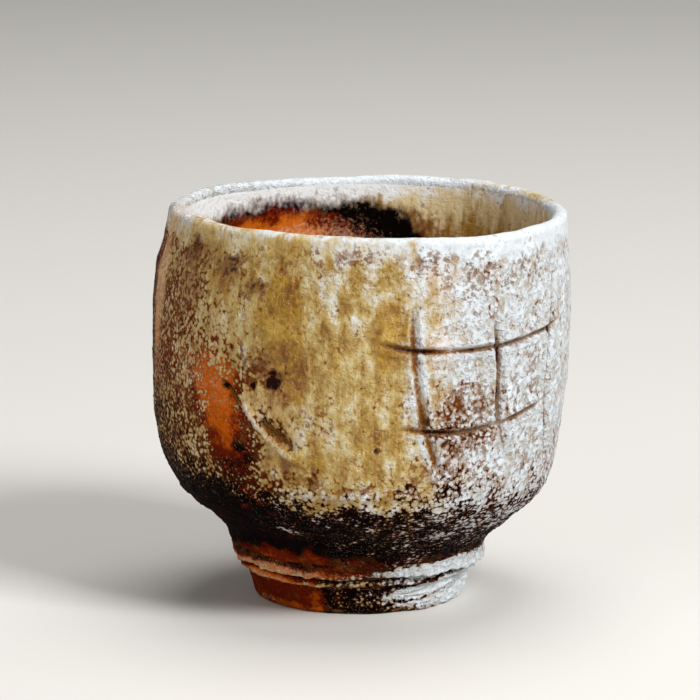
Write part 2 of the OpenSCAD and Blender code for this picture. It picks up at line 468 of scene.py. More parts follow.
# The wall and the lip: ash thickens from the haunch up, the left was sheltered and flashed,
# and the right faced the fire and has a dry crust.
OUTSIDE = FiringMap(
    levels={
        Mask.ASH: ((8, -0.05), (12, 0.08), (20, 0.1), (24, 0.25), (27, 0.75), (30, 1.2), (34, 1.6),
                   (73, 1.6), (76, 2.8)),
        Mask.BONE: ((12, 0.45), (22, 0.45), (28, 0.1), (60, 0.1), (69, 0.28), (77.6, 0.4), (78.7, 0.62)),
        Mask.CHAR: ((8, 0.3), (12, 0.7), (15, 1.0), (26, 1.0), (30, 0.4), (34, 0.1), (60, 0.0)),
        Mask.DRAG: ((8, 0.3), (12, 0.8), (22, 0.8), (27, 0.1), (30, 0.0)),
        Mask.GRIT: ((10, 0.6), (28, 0.8), (34, 0.2), (70, 0.05)),
    },
    marks={
        Mask.ASH: (
            Patch(-95, 52, 39, 50, -1.15, tip=25, hard=3),
            Patch(-72, 33, 26, 8, -0.2, hard=3),
            Patch(-50, 27, 18, 5, -0.3),
            Patch(-84, 68, 4, 12, -0.3),
            Patch(-75.5, 65, 2.6, 14, 0.3, hard=3),
            Patch(-44.5, 48, 6.0, 8, -0.8, hard=3),
            Patch(-38.5, 43.5, 3.8, 7, -0.6, tip=-15, hard=3),
            Patch(-35.5, 36.5, 6.2, 6.0, -1.4, tip=-60, hard=3),
            Patch(-30, 52, 5, 3.4, -0.5),
            Patch(-12, 43.5, 3.5, 4, -0.35),
            Patch(-25, 41.5, 2.2, 3.4, -0.75, tip=40, hard=3),
            Patch(-30, 14, 16, 3, -0.15),
            Patch(62, 24, 20, 8, 0.45),
            Patch(40, 19, 14, 5, 0.2),
            Patch(27, 36, 6, 7, -0.3),
            Patch(27, 42.5, 11, 7, -0.65, hard=3),
            Patch(4, 26, 20, 2.6, 0.4, hard=3),
            Patch(24, 31, 9, 3.5, -0.25),
            Patch(18, 27, 7, 2.5, -0.35),
            Patch(-27, 18.8, 2.0, 1.0, 1.0, tip=-12, hard=4),
            Patch(-130, 36, 40, 30, -0.35, hard=3),
            Patch(175, 26, 34, 12, -0.35, hard=3),
        ),
        Mask.BONE: (
            Patch(76, 46, 32, 40, 0.75, hard=4),
            Patch(40, 52, 18, 34, 0.5, hard=3),
            Patch(48, 77.5, 30, 4, 0.6, hard=3),
            Patch(-6, 28, 11, 1.0, 0.45),
            Patch(-52, 74, 30, 8, -0.2),
            Patch(-27, 18.8, 2.0, 1.0, 0.4, hard=4),
            Patch(-78, 60, 24, 30, -0.4),
            Patch(128, 79, 32, 5, -0.7, hard=3),
            Patch(-145, 79, 54, 7, 0.9, hard=4),
            Patch(135, 50, 40, 34, 0.5, hard=3),
        ),
        Mask.MELT: (
            Patch(-23.5, 62, 3.6, 13, 1.15),
            Patch(-20, 51, 3.0, 6, 0.95),
            Patch(-24, 76, 4.0, 2.5, 0.3),
            Patch(0, 71, 20, 5, -0.2, hard=3),
            Patch(8, 61, 3.2, 11, 0.52),
            Patch(-4, 33, 13, 3.6, 0.42),
            Patch(3, 39, 3.0, 3.6, 0.7),
            Patch(-10, 60, 16, 14, 0.38, hard=3),
            Patch(-20, 35, 7, 3, 0.5),
            Patch(-46, 69, 11, 6, 0.5),
            Patch(-62, 66, 10, 10, 0.45),
            Patch(150, 56, 10, 22, 0.8, hard=3),
            Patch(172, 46, 9, 20, 0.7, hard=3),
            Patch(-164, 58, 8, 16, 0.8, hard=3),
        ),
        Mask.FLASH: (
            Patch(-41.5, 45, 4.6, 7, 0.9),
            Patch(-42, 52, 7, 4.5, 0.38),
            Patch(-46, 44, 6, 9, 0.2),
            Patch(-36.5, 38, 4.5, 5.5, 0.35),
            Patch(-35.5, 37.6, 1.2, 1.6, -1.6, hard=4),
            Patch(-52, 54, 12, 8, 0.4),
            Patch(-75.5, 65, 3.0, 15, 1.1, hard=3),
            Patch(-68, 53, 14, 9, 0.25),
            Patch(-40, 11.6, 16, 2.0, 0.55),
            Patch(-30, 30, 8, 5, 0.25),
            Patch(-150, 24, 34, 16, 0.6, hard=3),
        ),
        Mask.BLUSH: (
            Patch(-76, 50, 22, 34, 0.42, hard=3),
            Patch(-47, 51, 8, 8, 0.25),
            Patch(-28, 42, 8, 6, 0.35),
            Patch(19.5, 58, 3.0, 5, 0.4, hard=3),
            Patch(19, 70, 4, 4, 0.3, hard=3),
            Patch(-75.5, 65, 3.0, 15, 0.8, hard=3),
            Patch(-150, 34, 26, 16, 0.4, hard=3),
        ),
        Mask.CHAR: (
            Patch(-74, 34, 24, 20, 0.45, hard=3),
            Patch(26, 37, 11, 10, 0.45, hard=3),
            Patch(-35, 35, 4.5, 4, 0.9),
            Patch(-25, 41.5, 3, 4, 0.7, tip=40, hard=3),
            Patch(-92, 56, 9, 30, 0.5),
            Patch(-42, 11.6, 15, 2.2, -0.6),
            Patch(-66, 62, 14, 12, 0.2),
            Patch(-130, 40, 36, 40, 0.3),
        ),
        Mask.SMOKE: (
            Patch(-58, 72.5, 3.2, 3.4, 0.95, hard=3),
            Patch(-41, 70.8, 3.6, 2.6, 0.9, hard=3),
            Patch(-33.2, 67.6, 2.6, 2.6, 1.0, hard=3),
            Patch(-48, 71.5, 12, 2.6, 0.25),
            Patch(30, 70, 8, 3.6, 0.5, hard=3),
            Patch(50, 71, 7, 3.6, 0.5, hard=3),
            Patch(38, 47, 9, 6, 0.2),
            Patch(28, 41, 9, 6.5, 0.7, hard=3),
            Patch(23, 31, 8, 2.8, 0.7),
            Patch(40, 60, 12, 8, 0.15, hard=3),
            Patch(50, 42, 12, 12, 0.2, hard=3),
            Patch(58, 30, 8, 4, 0.4),
            Patch(-2, 74.2, 24, 2.4, 0.6),
            Patch(-15, 30, 5, 1.2, 0.8),
            Patch(-4, 29.4, 5, 0.9, 0.6),
            Patch(-12, 43, 3.4, 4.5, 0.6),
            Patch(-29, 53.4, 4.6, 3.6, 0.85),
            Patch(96, 60, 14, 9, 0.45, hard=3),
            Patch(112, 38, 16, 9, 0.55, hard=3),
            Patch(140, 66, 12, 7, 0.4, hard=3),
            Patch(78, 33, 9, 6, 0.4, hard=3),
        ),
        Mask.GRIT: (
            Patch(-70, 40, 34, 24, 0.5, hard=3),
            Patch(50, 24, 20, 8, 0.3),
        ),
    },
)

# The foot and its collar: bare and flashed at the left, white with ash at the right.
FOOTING = FiringMap(
    levels={
        Mask.ASH: ((0, 0.0), (6, 0.1), (12, 0.0)),
        Mask.CHAR: ((0, 0.5), (6, 0.45), (12, 0.6)),
        Mask.DRAG: ((0, 0.2), (12, 0.6)),
    },
    marks={
        Mask.ASH: (
            Patch(-58, 3.4, 15.5, 3.0, -0.5, hard=8),
            Patch(0, 3.5, 7.5, 4.0, 0.05, hard=4),
            Patch(0, 7.2, 9.0, 1.2, 0.2, hard=3),
            Patch(-50, 9.3, 14, 0.8, 0.35, hard=3),
            Patch(-50, 6.4, 14, 0.7, 0.3, hard=3),
            Patch(56, 9.4, 19, 1.7, 1.9, hard=4),
            Patch(40, 5.2, 9, 1.2, 1.4, tip=8, hard=3),
            Patch(68, 3.2, 17, 3.6, 2.1, hard=4),
            Patch(34, 2.2, 5, 0.5, 0.6, tip=12, hard=3),
            Patch(54, 7.2, 13, 0.75, -1.7, tip=5, hard=3),
            Patch(47, 3.5, 9, 0.6, -1.4, tip=9, hard=3),
            Patch(120, 5.0, 22, 8.0, 0.7, hard=4),
        ),
        Mask.BLUSH: (
            # The pink on the two collar ridges is partly the clay's blush and partly a painted highlight
            # along their crests.
            Patch(-48, 9.4, 16, 1.0, 0.8, hard=4),
            Patch(-52, 6.5, 14, 0.8, 0.65, hard=4),
            Patch(-60, 1.0, 6, 0.8, 0.5, hard=3),
        ),
        Mask.BONE: (
            Patch(57, 9.4, 20, 1.8, 1.5, hard=4),
            Patch(0, 8.5, 12, 3, 0.3, hard=3),
            Patch(42, 4.5, 14, 4.5, 0.8, hard=4),
            Patch(44, 5.2, 9, 1.1, 0.7, tip=8, hard=3),
            Patch(72, 3.2, 15, 3.4, 1.5, hard=4),
            Patch(120, 5.0, 22, 8.0, 0.6, hard=4),
        ),
        Mask.MELT: (Patch(36, 4.6, 7, 1.6, 0.5),),
        Mask.FLASH: (
            Patch(-55, 3.0, 14.6, 5.0, 0.38, hard=12),
            Patch(-44, 0.8, 10.0, 1.2, 0.35, hard=4),
            Patch(-22, 3.0, 1.4, 3.0, 0.3, hard=4),
            Patch(-52, 9.3, 16, 1.0, 1.15, hard=4),
            Patch(-54, 6.6, 14, 0.8, 1.05, hard=4),
            Patch(-10, 9.4, 6, 0.8, 0.45, hard=3),
            Patch(-80, 9.6, 4, 1.2, 0.5, hard=4),
            Patch(-140, 5.0, 20, 9.0, 0.6, hard=4),
        ),
        Mask.CHAR: (
            Patch(4, 4, 9.5, 6, 0.5, hard=6),
            Patch(-55, 8.0, 14, 0.5, 0.8),
            Patch(-50, 9.4, 15, 0.8, -0.3),
            Patch(50, 6, 12, 6, 0.5, hard=4),
        ),
    },
    ragged=0.45,
)

# The inside: white under the lip, bare and flashed at the back left, pooled on the floor.
INSIDE = FiringMap(
    levels={
        Mask.ASH: ((14.6, 1.4), (18, 1.0), (26, 0.35), (40, 0.1), (56, 0.1), (66, 0.4), (71, 1.0),
                   (75, 1.8), (78, 2.6)),
        Mask.BONE: ((66, 0.1), (72, 0.35), (78, 0.6)),
        Mask.FLASH: ((20, 0.2), (50, 0.3), (64, 0.1)),
        Mask.CHAR: ((14, 0.4), (60, 0.3), (70, 0.1)),
        Mask.MELT: ((14.6, 1.2), (17, 0.9), (22, 0.1)),
        Mask.SMOKE: ((14.6, 0.35), (18, 0.2), (24, 0.0)),
    },
    marks={
        Mask.ASH: (
            Patch(-152, 60, 28, 17.2, -1.45, hard=6),
            Patch(176, 62, 11, 12, -1.0, hard=5),
            Patch(120, 48, 36, 32, 0.8, hard=3),
            Patch(-40, 44, 30, 14, -0.4, hard=3),
        ),
        Mask.BONE: (
            Patch(-150, 76, 28, 4, 0.9, hard=4),
            Patch(176, 76, 16, 6, -0.25, hard=3),
            Patch(128, 70, 32, 5.5, -0.6, hard=3),
        ),
        Mask.FLASH: (
            Patch(-158, 62, 24, 9.4, 1.26, hard=4),
            Patch(180, 66, 12, 9, -0.75, hard=3),
            Patch(-138, 58, 16, 10, 0.45, hard=3),
            Patch(-20, 40, 26, 18, 0.35, hard=3),
        ),
        Mask.BLUSH: (Patch(-163, 63, 16, 7, 0.85, hard=3),),
        Mask.CHAR: (
            Patch(-150, 73.4, 30, 2.2, 1.4, hard=4),
            Patch(178, 66, 10, 8, 1.5, hard=4),
        ),
        Mask.MELT: (Patch(132, 56, 34, 18, 0.45, hard=4),),
        Mask.SMOKE: (Patch(132, 60, 34, 8, 0.4),),
    },
    ragged=1.5,
)


def linked(name: str, data: bpy.types.ID) -> bpy.types.Object:
    """Make an object and put it in the scene.

    Args:
        name: Its name.
        data: Its mesh, lamp or camera.

    Returns:
        The object, at the origin.
    """
    made = bpy.data.objects.new(name, data)
    bpy.context.scene.collection.objects.link(made)
    return made


class Skin:
    """A closed skin of rows that run round the cup."""

    def __init__(self, name: str, rows: Grid, poles: tuple[Grid, Grid] | None = None,
                 sharp: Sequence[int] = ()) -> None:
        """Make the mesh and its object.

        Args:
            name: Name of the piece.
            rows: Places in millimetres, by row and column.
            poles: The two end points of a skin that closes on the axis, or None where it closes on itself.
            sharp: Rows whose ring keeps a sharp edge, where two skins meet.
        """
        self.rows, self.columns = rows.shape[:2]
        places = rows.reshape(-1, 3)
        if poles is not None:
            places = np.concatenate([places, np.stack(poles)])
        mesh = bpy.data.meshes.new(name)
        mesh.from_pydata((places * MM).tolist(), [], self.faces(poles is not None))
        mesh.shade_smooth()
        mesh.update()
        ends = np.zeros(2 * len(mesh.edges), dtype=np.int32)
        mesh.edges.foreach_get("vertices", ends)
        row = ends.reshape(-1, 2) // self.columns
        held = (row[:, 0] == row[:, 1]) & np.isin(row[:, 0], sharp)
        mesh.attributes.new("sharp_edge", "BOOLEAN", "EDGE").data.foreach_set("value", held)
        self.count = len(places)
        self.piece = linked(name, mesh)

    def faces(self, capped: bool) -> list[list[int]]:
        """List the faces between the rows.

        Args:
            capped: Whether the skin ends in poles, which get fans, or joins its last row to its first.

        Returns:
            The vertices of each face.
        """
        step = np.arange(self.columns)
        after = (step + 1) % self.columns
        last = self.rows if not capped else self.rows - 1
        low = np.arange(last)[:, None] * self.columns
        high = ((np.arange(last) + 1) % self.rows)[:, None] * self.columns
        quads = np.stack([low + step, low + after, high + after, high + step], axis=-1)
        faces = quads.reshape(-1, 4).tolist()
        if capped:
            first = self.rows * self.columns
            top = (self.rows - 1) * self.columns
            faces += [[first, int(b), int(a)] for a, b in zip(step, after)]
            faces += [[first + 1, int(top + a), int(top + b)] for a, b in zip(step, after)]
        return faces

    def dress(self, masks: dict[Mask, Grid], finish: Material) -> "Skin":
        """Store the masks on the vertices, with 0 where they don't reach, and lay on the finish.

        Args:
            masks: One value for each vertex of the first rows, by mask.
            finish: The material.

        Returns:
            The skin itself.
        """
        for mask, values in masks.items():
            held = np.zeros(self.count, dtype=np.float32)
            flat = np.asarray(values, dtype=np.float32).reshape(-1)
            held[:len(flat)] = flat
            layer = self.piece.data.attributes.new(mask.value, "FLOAT", "POINT")
            layer.data.foreach_set("value", held)
        self.piece.data.materials.append(finish)
        return self


def round_turns(columns: int, front_share: float = 0.0) -> Grid:
    """Return the columns' turns in degrees, closer together at the front by a share."""
    t = np.arange(columns) / columns * 2 * np.pi
    return np.degrees(t + front_share * np.sin(t)) - 180.0


def raised(rows: Grid, lift: Grid, looped: bool = False) -> Grid:
    """Move every place of a grid of rows outwards.

    Args:
        rows: Places by row and column, where each row runs round the cup.
        lift: How far out each place goes.
        looped: Whether the last row joins the first.

    Returns:
        The moved places.
    """
    round_by = np.roll(rows, -1, axis=1) - np.roll(rows, 1, axis=1)
    along = np.roll(rows, -1, axis=0) - np.roll(rows, 1, axis=0) if looped else np.gradient(rows, axis=0)
    out = np.cross(round_by, along)
    out /= np.maximum(np.linalg.norm(out, axis=-1, keepdims=True), 1e-9)
    return rows + out * lift[..., None]


class NodeBench:
    """Lays out the nodes of one material or one geometry tree."""

    def __init__(self, tree: bpy.types.NodeTree, prefix: str) -> None:
        """Keep the tree and the first part of its nodes' type names."""
        self.tree = tree
        self.prefix = prefix

    def add(self, kind: str, *values: object, named: dict[str, object] | None = None,
            stops: Sequence[tuple[float, str]] = (), **settings: object) -> Socket:
        """Add a node with its settings and links.

        Args:
            kind: The node's type, without the tree's prefix.
            values: Values or sockets for the node's usable inputs, in order.
            named: Values or sockets for inputs by name.
            stops: A colour ramp's places and hex colours.
            settings: The node's own properties.

        Returns:
            The node's first usable output.
        """
        node = self.tree.nodes.new(kind if kind.startswith("NodeGroup") else self.prefix + kind)
        for name, value in settings.items():
            setattr(node, name, value)
        if stops:
            ramp = node.color_ramp
            while len(ramp.elements) < len(stops):
                ramp.elements.new(1.0)
            for element, (place, code) in zip(ramp.elements, stops):
                element.position = place
                element.color = linear(code)
        usable = [socket for socket in node.inputs if socket.enabled]
        pairs = list(zip(usable, values)) + [(node.inputs[name], v) for name, v in (named or {}).items()]
        for socket, value in pairs:
            if isinstance(value, Socket):
                self.tree.links.new(value, socket)
            elif value is not None:
                socket.default_value = value
        outputs = [socket for socket in node.outputs if socket.enabled]
        return outputs[0] if outputs else None


@dataclass(frozen=True)
class Surface:
    """What a finish's nodes start from: the bench, the place in millimetres and the masks."""

    bench: NodeBench
    place: Socket
    mask: dict[Mask, Socket]


@dataclass(frozen=True)
class WoodAshGlaze:
    """Natural ash glaze on iron-bearing stoneware, from a long wood firing.

    Fly ash lands as specks, melts into drops and, where it is thick, runs together into glass. The eye sees
    cream specks on dark clay, then a mottled buff and mustard glass, then a dry white crust by the fire.
    Sizes are in millimetres.
    """

    name: str
    # The clay: burnt, plain, glowing and flashed.
    clay_dark: str = "#060101"
    clay_red: str = "#743a10"
    ember: str = "#5c1101"
    flash: str = "#c05806"
    salmon: str = "#cf9467"
    blush: str = "#deb08a"
    # Round the specks, and where the glass is thin.
    halo: str = "#5e3010"
    amber: str = "#8a5314"
    # The glass, still and where it ran.
    cream: str = "#d9cba3"
    buff: str = "#bda56b"
    tan: str = "#9f7f42"
    gold: str = "#bf9f46"
    mustard: str = "#98700e"
    olive: str = "#744600"
    honey: str = "#b57c2a"
    # The dry crust, with a valley colour that is partly a real tint and partly painted shade between its
    # pebbles.
    white: str = "#d8dfe5"
    bone: str = "#c3c7ca"
    valley_tint_and_shade: str = "#a89a82"
    # The soot, in glass, in crust and at its darkest. The first two also rim the dark cuts and the last fills
    # them, partly as pooled glass and partly as painted shade.
    rust: str = "#7b4d1f"
    dun: str = "#7f6752"
    stain_and_shade: str = "#220803"
    # Width of a speck, how much grain and drops shape it, how far it is drawn down, and how soft its edge is.
    speck: float = 0.78
    grainy: float = 2.6
    dotted: float = 1.8
    drawn: float = 1.1
    sharp: float = 0.12
    spray: float = 0.9
    # Widths of the ash's clusters, the clay's clouds and grain, the glass's clouds, grain and runs, and the
    # crust's pebbles. The real grit is finer than 0.3 mm, which is as coarse as it needs to be to show.
    cluster: float = 3.6
    clay_cloud: float = 2.6
    clay_grain: float = 0.7
    glass_cloud: float = 3.2
    glass_grain: float = 1.0
    run_width: float = 2.4
    pebble: float = 1.1
    grit: float = 0.3
    # How mottled the glass is, and how much of the relief shows.
    calm: float = 1.0
    relief: float = 1.0
    rough_clay: float = 0.8
    rough_ash: float = 0.62
    rough_glass: float = 0.28
    rough_coat: float = 0.18
    # Dry ash and clay shine little, so only the coat of glass that ran is glossy.
    specular: float = 0.03

    @property
    def half(self) -> float:
        """Level of the ash at which it covers half of the clay."""
        return 0.5 * self.grainy - 0.5 * self.dotted + 1.2

    def make(self) -> Material:
        """Build the material.

        Returns:
            The material, for skins that carry the masks.
        """
        material = bpy.data.materials.new(self.name)
        material.use_nodes = True
        material.node_tree.nodes.clear()
        bench = NodeBench(material.node_tree, "ShaderNode")
        add = bench.add
        place = add("VectorMath", add("TexCoord").node.outputs["Object"], (1 / MM,) * 3, operation="MULTIPLY")
        mask = {m: add("Attribute", attribute_name=m.value).node.outputs["Fac"] for m in Mask}
        on = Surface(bench, place, mask)

        grain, level, cover = self.fallen(on)
        # The soot's tint, which also rims the dark cuts, partly as painted shade.
        scorch_and_shade = add("MapRange", mask[Mask.BONE], 0.4, 1.0, 0.0, 1.0)
        scorch_and_shade = add("Mix", scorch_and_shade, linear(self.rust), linear(self.dun), data_type="RGBA")
        glass, runs, hill = self.glass(on, scorch_and_shade)
        colour = self.pooled_and_shaded(on, self.laid(on, glass, level, cover), grain, scorch_and_shade)
        height = self.height(on, grain, cover, hill)
        bump = add("Bump", named={"Height": height, "Distance": MM, "Strength": self.relief})
        rough = add("Mix", cover, self.rough_clay, self.rough_ash, data_type="FLOAT")
        rough = add("Mix", runs, rough, self.rough_glass, data_type="FLOAT")
        sheen = add("MapRange", runs, 0.0, 1.0, 0.1, 0.75)
        surface = add("BsdfPrincipled", named={
            "Base Color": colour, "Roughness": rough, "Normal": bump, "Specular IOR Level": self.specular,
            "Coat Weight": add("Math", sheen, cover, operation="MULTIPLY"),
            "Coat Roughness": self.rough_coat, "Coat Normal": bump})
        add("OutputMaterial", surface)
        return material

    def grains(self, on: Surface) -> tuple[Socket, Socket]:
        """Draw the ash's cloudy grain and its round drops, dragged sideways round the haunch.

        Args:
            on: Bench, place and masks.

        Returns:
            The grain, and the distance from the drops' middles.
        """
        add = on.bench.add
        upright = add("VectorMath", on.place, (1.0, 1.0, 1 / self.drawn), operation="MULTIPLY")
        dragged = add("VectorMath", on.place, (0.6, 0.6, 1.7), operation="MULTIPLY")
        fields = []
        for way in (upright, dragged):
            cloud = add("TexNoise", named={"Vector": way, "Scale": 1 / self.speck, "Detail": 5.0,
                                           "Roughness": 0.7, "Distortion": 0.4})
            drops = add("TexVoronoi", named={"Vector": way, "Scale": 1 / self.speck})
            fields.append((cloud, drops))
        pull = add("Math", on.mask[Mask.DRAG], 0.75, operation="MULTIPLY", use_clamp=True)
        return (add("Mix", pull, fields[0][0], fields[1][0], data_type="FLOAT"),
                add("Mix", pull, fields[0][1], fields[1][1], data_type="FLOAT"))

    def fallen(self, on: Surface) -> tuple[Socket, Socket, Socket]:
        """Let the ash fall on the clay in clusters, with single fine grains between them.

        Args:
            on: Bench, place and masks.

        Returns:
            The ash's grain, its level, and where it covers the clay.
        """
        add = on.bench.add
        grain, dots = self.grains(on)
        clusters = add("TexNoise", named={"Vector": on.place, "Scale": 1 / self.cluster, "Detail": 3.0,
                                          "Roughness": 0.6})
        level = add("Math", grain, self.grainy, on.mask[Mask.ASH], operation="MULTIPLY_ADD")
        level = add("Math", dots, -self.dotted, level, operation="MULTIPLY_ADD")
        level = add("Math", clusters, 1.3, level, operation="MULTIPLY_ADD")
        level = add("Math", on.mask[Mask.HILL], 0.3, level, operation="MULTIPLY_ADD")
        cover = add("MapRange", level, self.half - self.sharp, self.half + self.sharp, 0.0, 1.0,
                    interpolation_type="SMOOTHSTEP")
        spray = add("TexVoronoi", named={"Vector": on.place, "Scale": 2.0 / self.speck})
        picked = add("MapRange", spray.node.outputs["Color"], 0.5, 0.65, 0.0, 1.0)
        near = add("Math", on.mask[Mask.BLUSH], 1.2, on.mask[Mask.ASH], operation="MULTIPLY_ADD")
        near = add("MapRange", near, -0.35, 0.2, 0.0, self.spray)
        spray = add("MapRange", spray, 0.3, 0.2, 0.0, picked, interpolation_type="SMOOTHSTEP")
        spray = add("Math", spray, near, operation="MULTIPLY")
        return grain, level, add("Math", cover, spray, operation="MAXIMUM")

    def ground(self, on: Surface) -> Socket:
        """Colour the clay between the specks.

        Args:
            on: Bench, place and masks.

        Returns:
            The clay's colour.
        """
        add = on.bench.add
        cloud = add("TexNoise", named={"Vector": on.place, "Scale": 1 / self.clay_cloud, "Detail": 5.0,
                                       "Roughness": 0.6})
        char = add("Math", cloud, 1.6, on.mask[Mask.CHAR], operation="MULTIPLY_ADD")
        burnt = add("MapRange", char, 0.85, 1.55, 0.0, 1.0, interpolation_type="SMOOTHSTEP")
        colour = add("Mix", burnt, linear(self.clay_red), linear(self.clay_dark), data_type="RGBA")
        fine = add("TexNoise", named={"Vector": on.place, "Scale": 1 / self.clay_grain, "Detail": 4.0,
                                      "Roughness": 0.65})
        warm = add("Math", add("Mix", 0.35, cloud, fine, data_type="FLOAT"), 1.9, on.mask[Mask.FLASH],
                   operation="MULTIPLY_ADD")
        for low, high, tone in ((1.05, 1.4, self.ember), (1.35, 2.0, self.flash), (2.1, 2.6, self.salmon)):
            heat = add("MapRange", warm, low, high, 0.0, 1.0, interpolation_type="SMOOTHSTEP")
            colour = add("Mix", heat, colour, linear(tone), data_type="RGBA")
        haze = add("Math", fine, 1.8, on.mask[Mask.BLUSH], operation="MULTIPLY_ADD")
        haze = add("MapRange", haze, 1.2, 2.0, 0.0, 0.65, interpolation_type="SMOOTHSTEP")
        return add("Mix", haze, colour, linear(self.blush), data_type="RGBA")

    def glass(self, on: Surface, scorch_and_shade: Socket) -> tuple[Socket, Socket, Socket]:
        """Colour the ash glass: mottled where it lay still, honey and mustard where it ran, white where dry.

        Args:
            on: Bench, place and masks.
            scorch_and_shade: Colour of the soot that it holds.

        Returns:
            The glass's colour, where it ran, and its pebbled hills.
        """
        add = on.bench.add
        fine = add("TexNoise", named={"Vector": on.place, "Scale": 1 / self.glass_grain, "Detail": 3.0,
                                      "Roughness": 0.5})
        hung = add("VectorMath", on.place, (1.0, 1.0, 0.5), operation="MULTIPLY")
        cloud = add("TexNoise", named={"Vector": hung, "Scale": 1 / self.glass_cloud, "Detail": 3.0,
                                       "Roughness": 0.55})
        bumps = add("TexNoise", named={"Vector": on.place, "Scale": 1 / self.pebble, "Detail": 2.0,
                                       "Roughness": 0.6})
        # The crust's lumps come out lighter on top and sootier below, partly as ash and partly as painted
        # light and shade on the relief.
        lump = add("Math", on.mask[Mask.HILL], 0.07, operation="MULTIPLY")
        mottle = add("Math", add("Mix", 0.7, fine, cloud, data_type="FLOAT"), lump, operation="ADD")
        calm = add("MapRange", on.mask[Mask.ASH], 1.9, 2.7, self.calm, 0.5 * self.calm)
        tone = add("Mix", calm, 0.53, mottle, data_type="FLOAT")
        still = add("ValToRGB", tone, stops=((0.38, self.tan), (0.5, self.buff), (0.68, self.cream)))

        drawn = add("VectorMath", on.place, (1.0, 1.0, 0.2), operation="MULTIPLY")
        streak = add("TexNoise", named={"Vector": drawn, "Scale": 1 / self.run_width, "Detail": 4.0,
                                        "Roughness": 0.6})
        runs = add("Math", streak, 2.0, on.mask[Mask.MELT], operation="MULTIPLY_ADD")
        runs = add("MapRange", runs, 1.15, 1.8, 0.0, 1.0, interpolation_type="SMOOTHSTEP")
        run = add("ValToRGB", tone, stops=((0.4, self.olive), (0.51, self.mustard), (0.66, self.gold)))
        colour = add("Mix", runs, still, run, data_type="RGBA")
        tinge = add("MapRange", fine, 0.5, 0.7, 0.0, 0.6, interpolation_type="SMOOTHSTEP")
        tinge = add("Math", tinge, add("MapRange", runs, 0.0, 1.0, 0.25, 1.0), operation="MULTIPLY")
        colour = add("Mix", tinge, colour, linear(self.honey), data_type="RGBA")

        crust = add("Math", mottle, 2.0, on.mask[Mask.BONE], operation="MULTIPLY_ADD")
        crust = add("Math", runs, -0.5, crust, operation="MULTIPLY_ADD")
        crust = add("MapRange", crust, 1.05, 1.8, 0.0, 1.0, interpolation_type="SMOOTHSTEP")
        # The pale crust is whiter on its pebbles' tops and darker in their valleys, partly a real tint and
        # partly painted light and shade.
        pebble_light_and_shade = add("Mix", 0.4, mottle, bumps, data_type="FLOAT")
        pebble_light_and_shade = add("Mix", calm, 0.6, pebble_light_and_shade, data_type="FLOAT")
        pale = add("ValToRGB", pebble_light_and_shade, stops=((0.35, self.valley_tint_and_shade), (0.49, self.bone), (0.65, self.white)))
        colour = add("Mix", crust, colour, pale, data_type="RGBA")
        blush = add("MapRange", on.mask[Mask.BLUSH], 0.0, 1.0, 0.0, 0.6)
        colour = add("Mix", blush, colour, linear(self.blush), data_type="RGBA")

        hill = add("MapRange", bumps, 0.36, 0.58, 0.0, 1.0, interpolation_type="SMOOTHSTEP")
        # Soot keeps off the tops of the pebbles and lumps and gathers low, partly real and partly painted
        # shade in the hollows.
        soot = add("Math", cloud, 1.6, on.mask[Mask.SMOKE], operation="MULTIPLY_ADD")
        for part, share in ((fine, 1.0), (hill, -0.5), (lump, -5.0)):
            soot = add("Math", part, share, soot, operation="MULTIPLY_ADD")
        warm = add("MapRange", soot, 1.25, 1.85, 0.0, 0.78, interpolation_type="SMOOTHSTEP")
        colour = add("Mix", warm, colour, scorch_and_shade, data_type="RGBA")
        dark = add("MapRange", soot, 1.78, 2.4, 0.0, 0.9, interpolation_type="SMOOTHSTEP")
        return add("Mix", dark, colour, linear(self.stain_and_shade), data_type="RGBA"), runs, hill

    def laid(self, on: Surface, glass: Socket, level: Socket, cover: Socket) -> Socket:
        """Lay the glass over the clay, thin and amber at its edge, with a burnt halo outside it.

        Args:
            on: Bench, place and masks.
            glass: The glass's colour.
            level: The ash's level.
            cover: Where the ash covers the clay.

        Returns:
            The colour of both.
        """
        add = on.bench.add
        soft = add("MapRange", on.mask[Mask.FLASH], 0.2, 0.8, 1.0, 0.1)
        thin = add("MapRange", level, self.half, self.half + 0.75, 0.8, 0.0, interpolation_type="SMOOTHSTEP")
        clear = add("MapRange", on.mask[Mask.CHAR], 0.5, 1.1, 1.0, 0.25)
        thin = add("Math", add("Math", thin, clear, operation="MULTIPLY"), soft, operation="MULTIPLY")
        glass = add("Mix", thin, glass, linear(self.amber), data_type="RGBA")
        edge = add("MapRange", level, self.half - 0.4, self.half, 0.0, 0.8, interpolation_type="SMOOTHSTEP")
        edge = add("Math", edge, soft, operation="MULTIPLY")
        colour = add("Mix", edge, self.ground(on), linear(self.halo), data_type="RGBA")
        return add("Mix", cover, colour, glass, data_type="RGBA")

    def pooled_and_shaded(self, on: Surface, colour: Socket, grain: Socket, scorch_and_shade: Socket) -> Socket:
        """Darken the cuts, warm at the rim and black in the middle, partly as pooled glass and partly as
        painted shade in the hollows.

        Args:
            on: Bench, place and masks.
            colour: Colour outside the cuts.
            grain: The ash's grain, which frays the dark cuts.
            scorch_and_shade: Colour of the dark cuts' rim, partly painted shade.

        Returns:
            The colour with its darkened cuts.
        """
        add = on.bench.add
        crusted = add("MapRange", on.mask[Mask.BONE], 0.0, 0.8, 0.0, -0.2)
        depth = add("Math", add("Math", grain, on.mask[Mask.CUT], operation="ADD"), crusted, operation="ADD")
        # Cuts go warm and then black, partly as pooled glass and partly as painted shade in their hollows.
        for low, high, tone in ((0.65, 1.0, scorch_and_shade), (1.0, 1.35, linear(self.stain_and_shade))):
            pool_and_shade = add("MapRange", depth, low, high, 0.0, 1.0, interpolation_type="SMOOTHSTEP")
            colour = add("Mix", pool_and_shade, colour, tone, data_type="RGBA")
        return colour

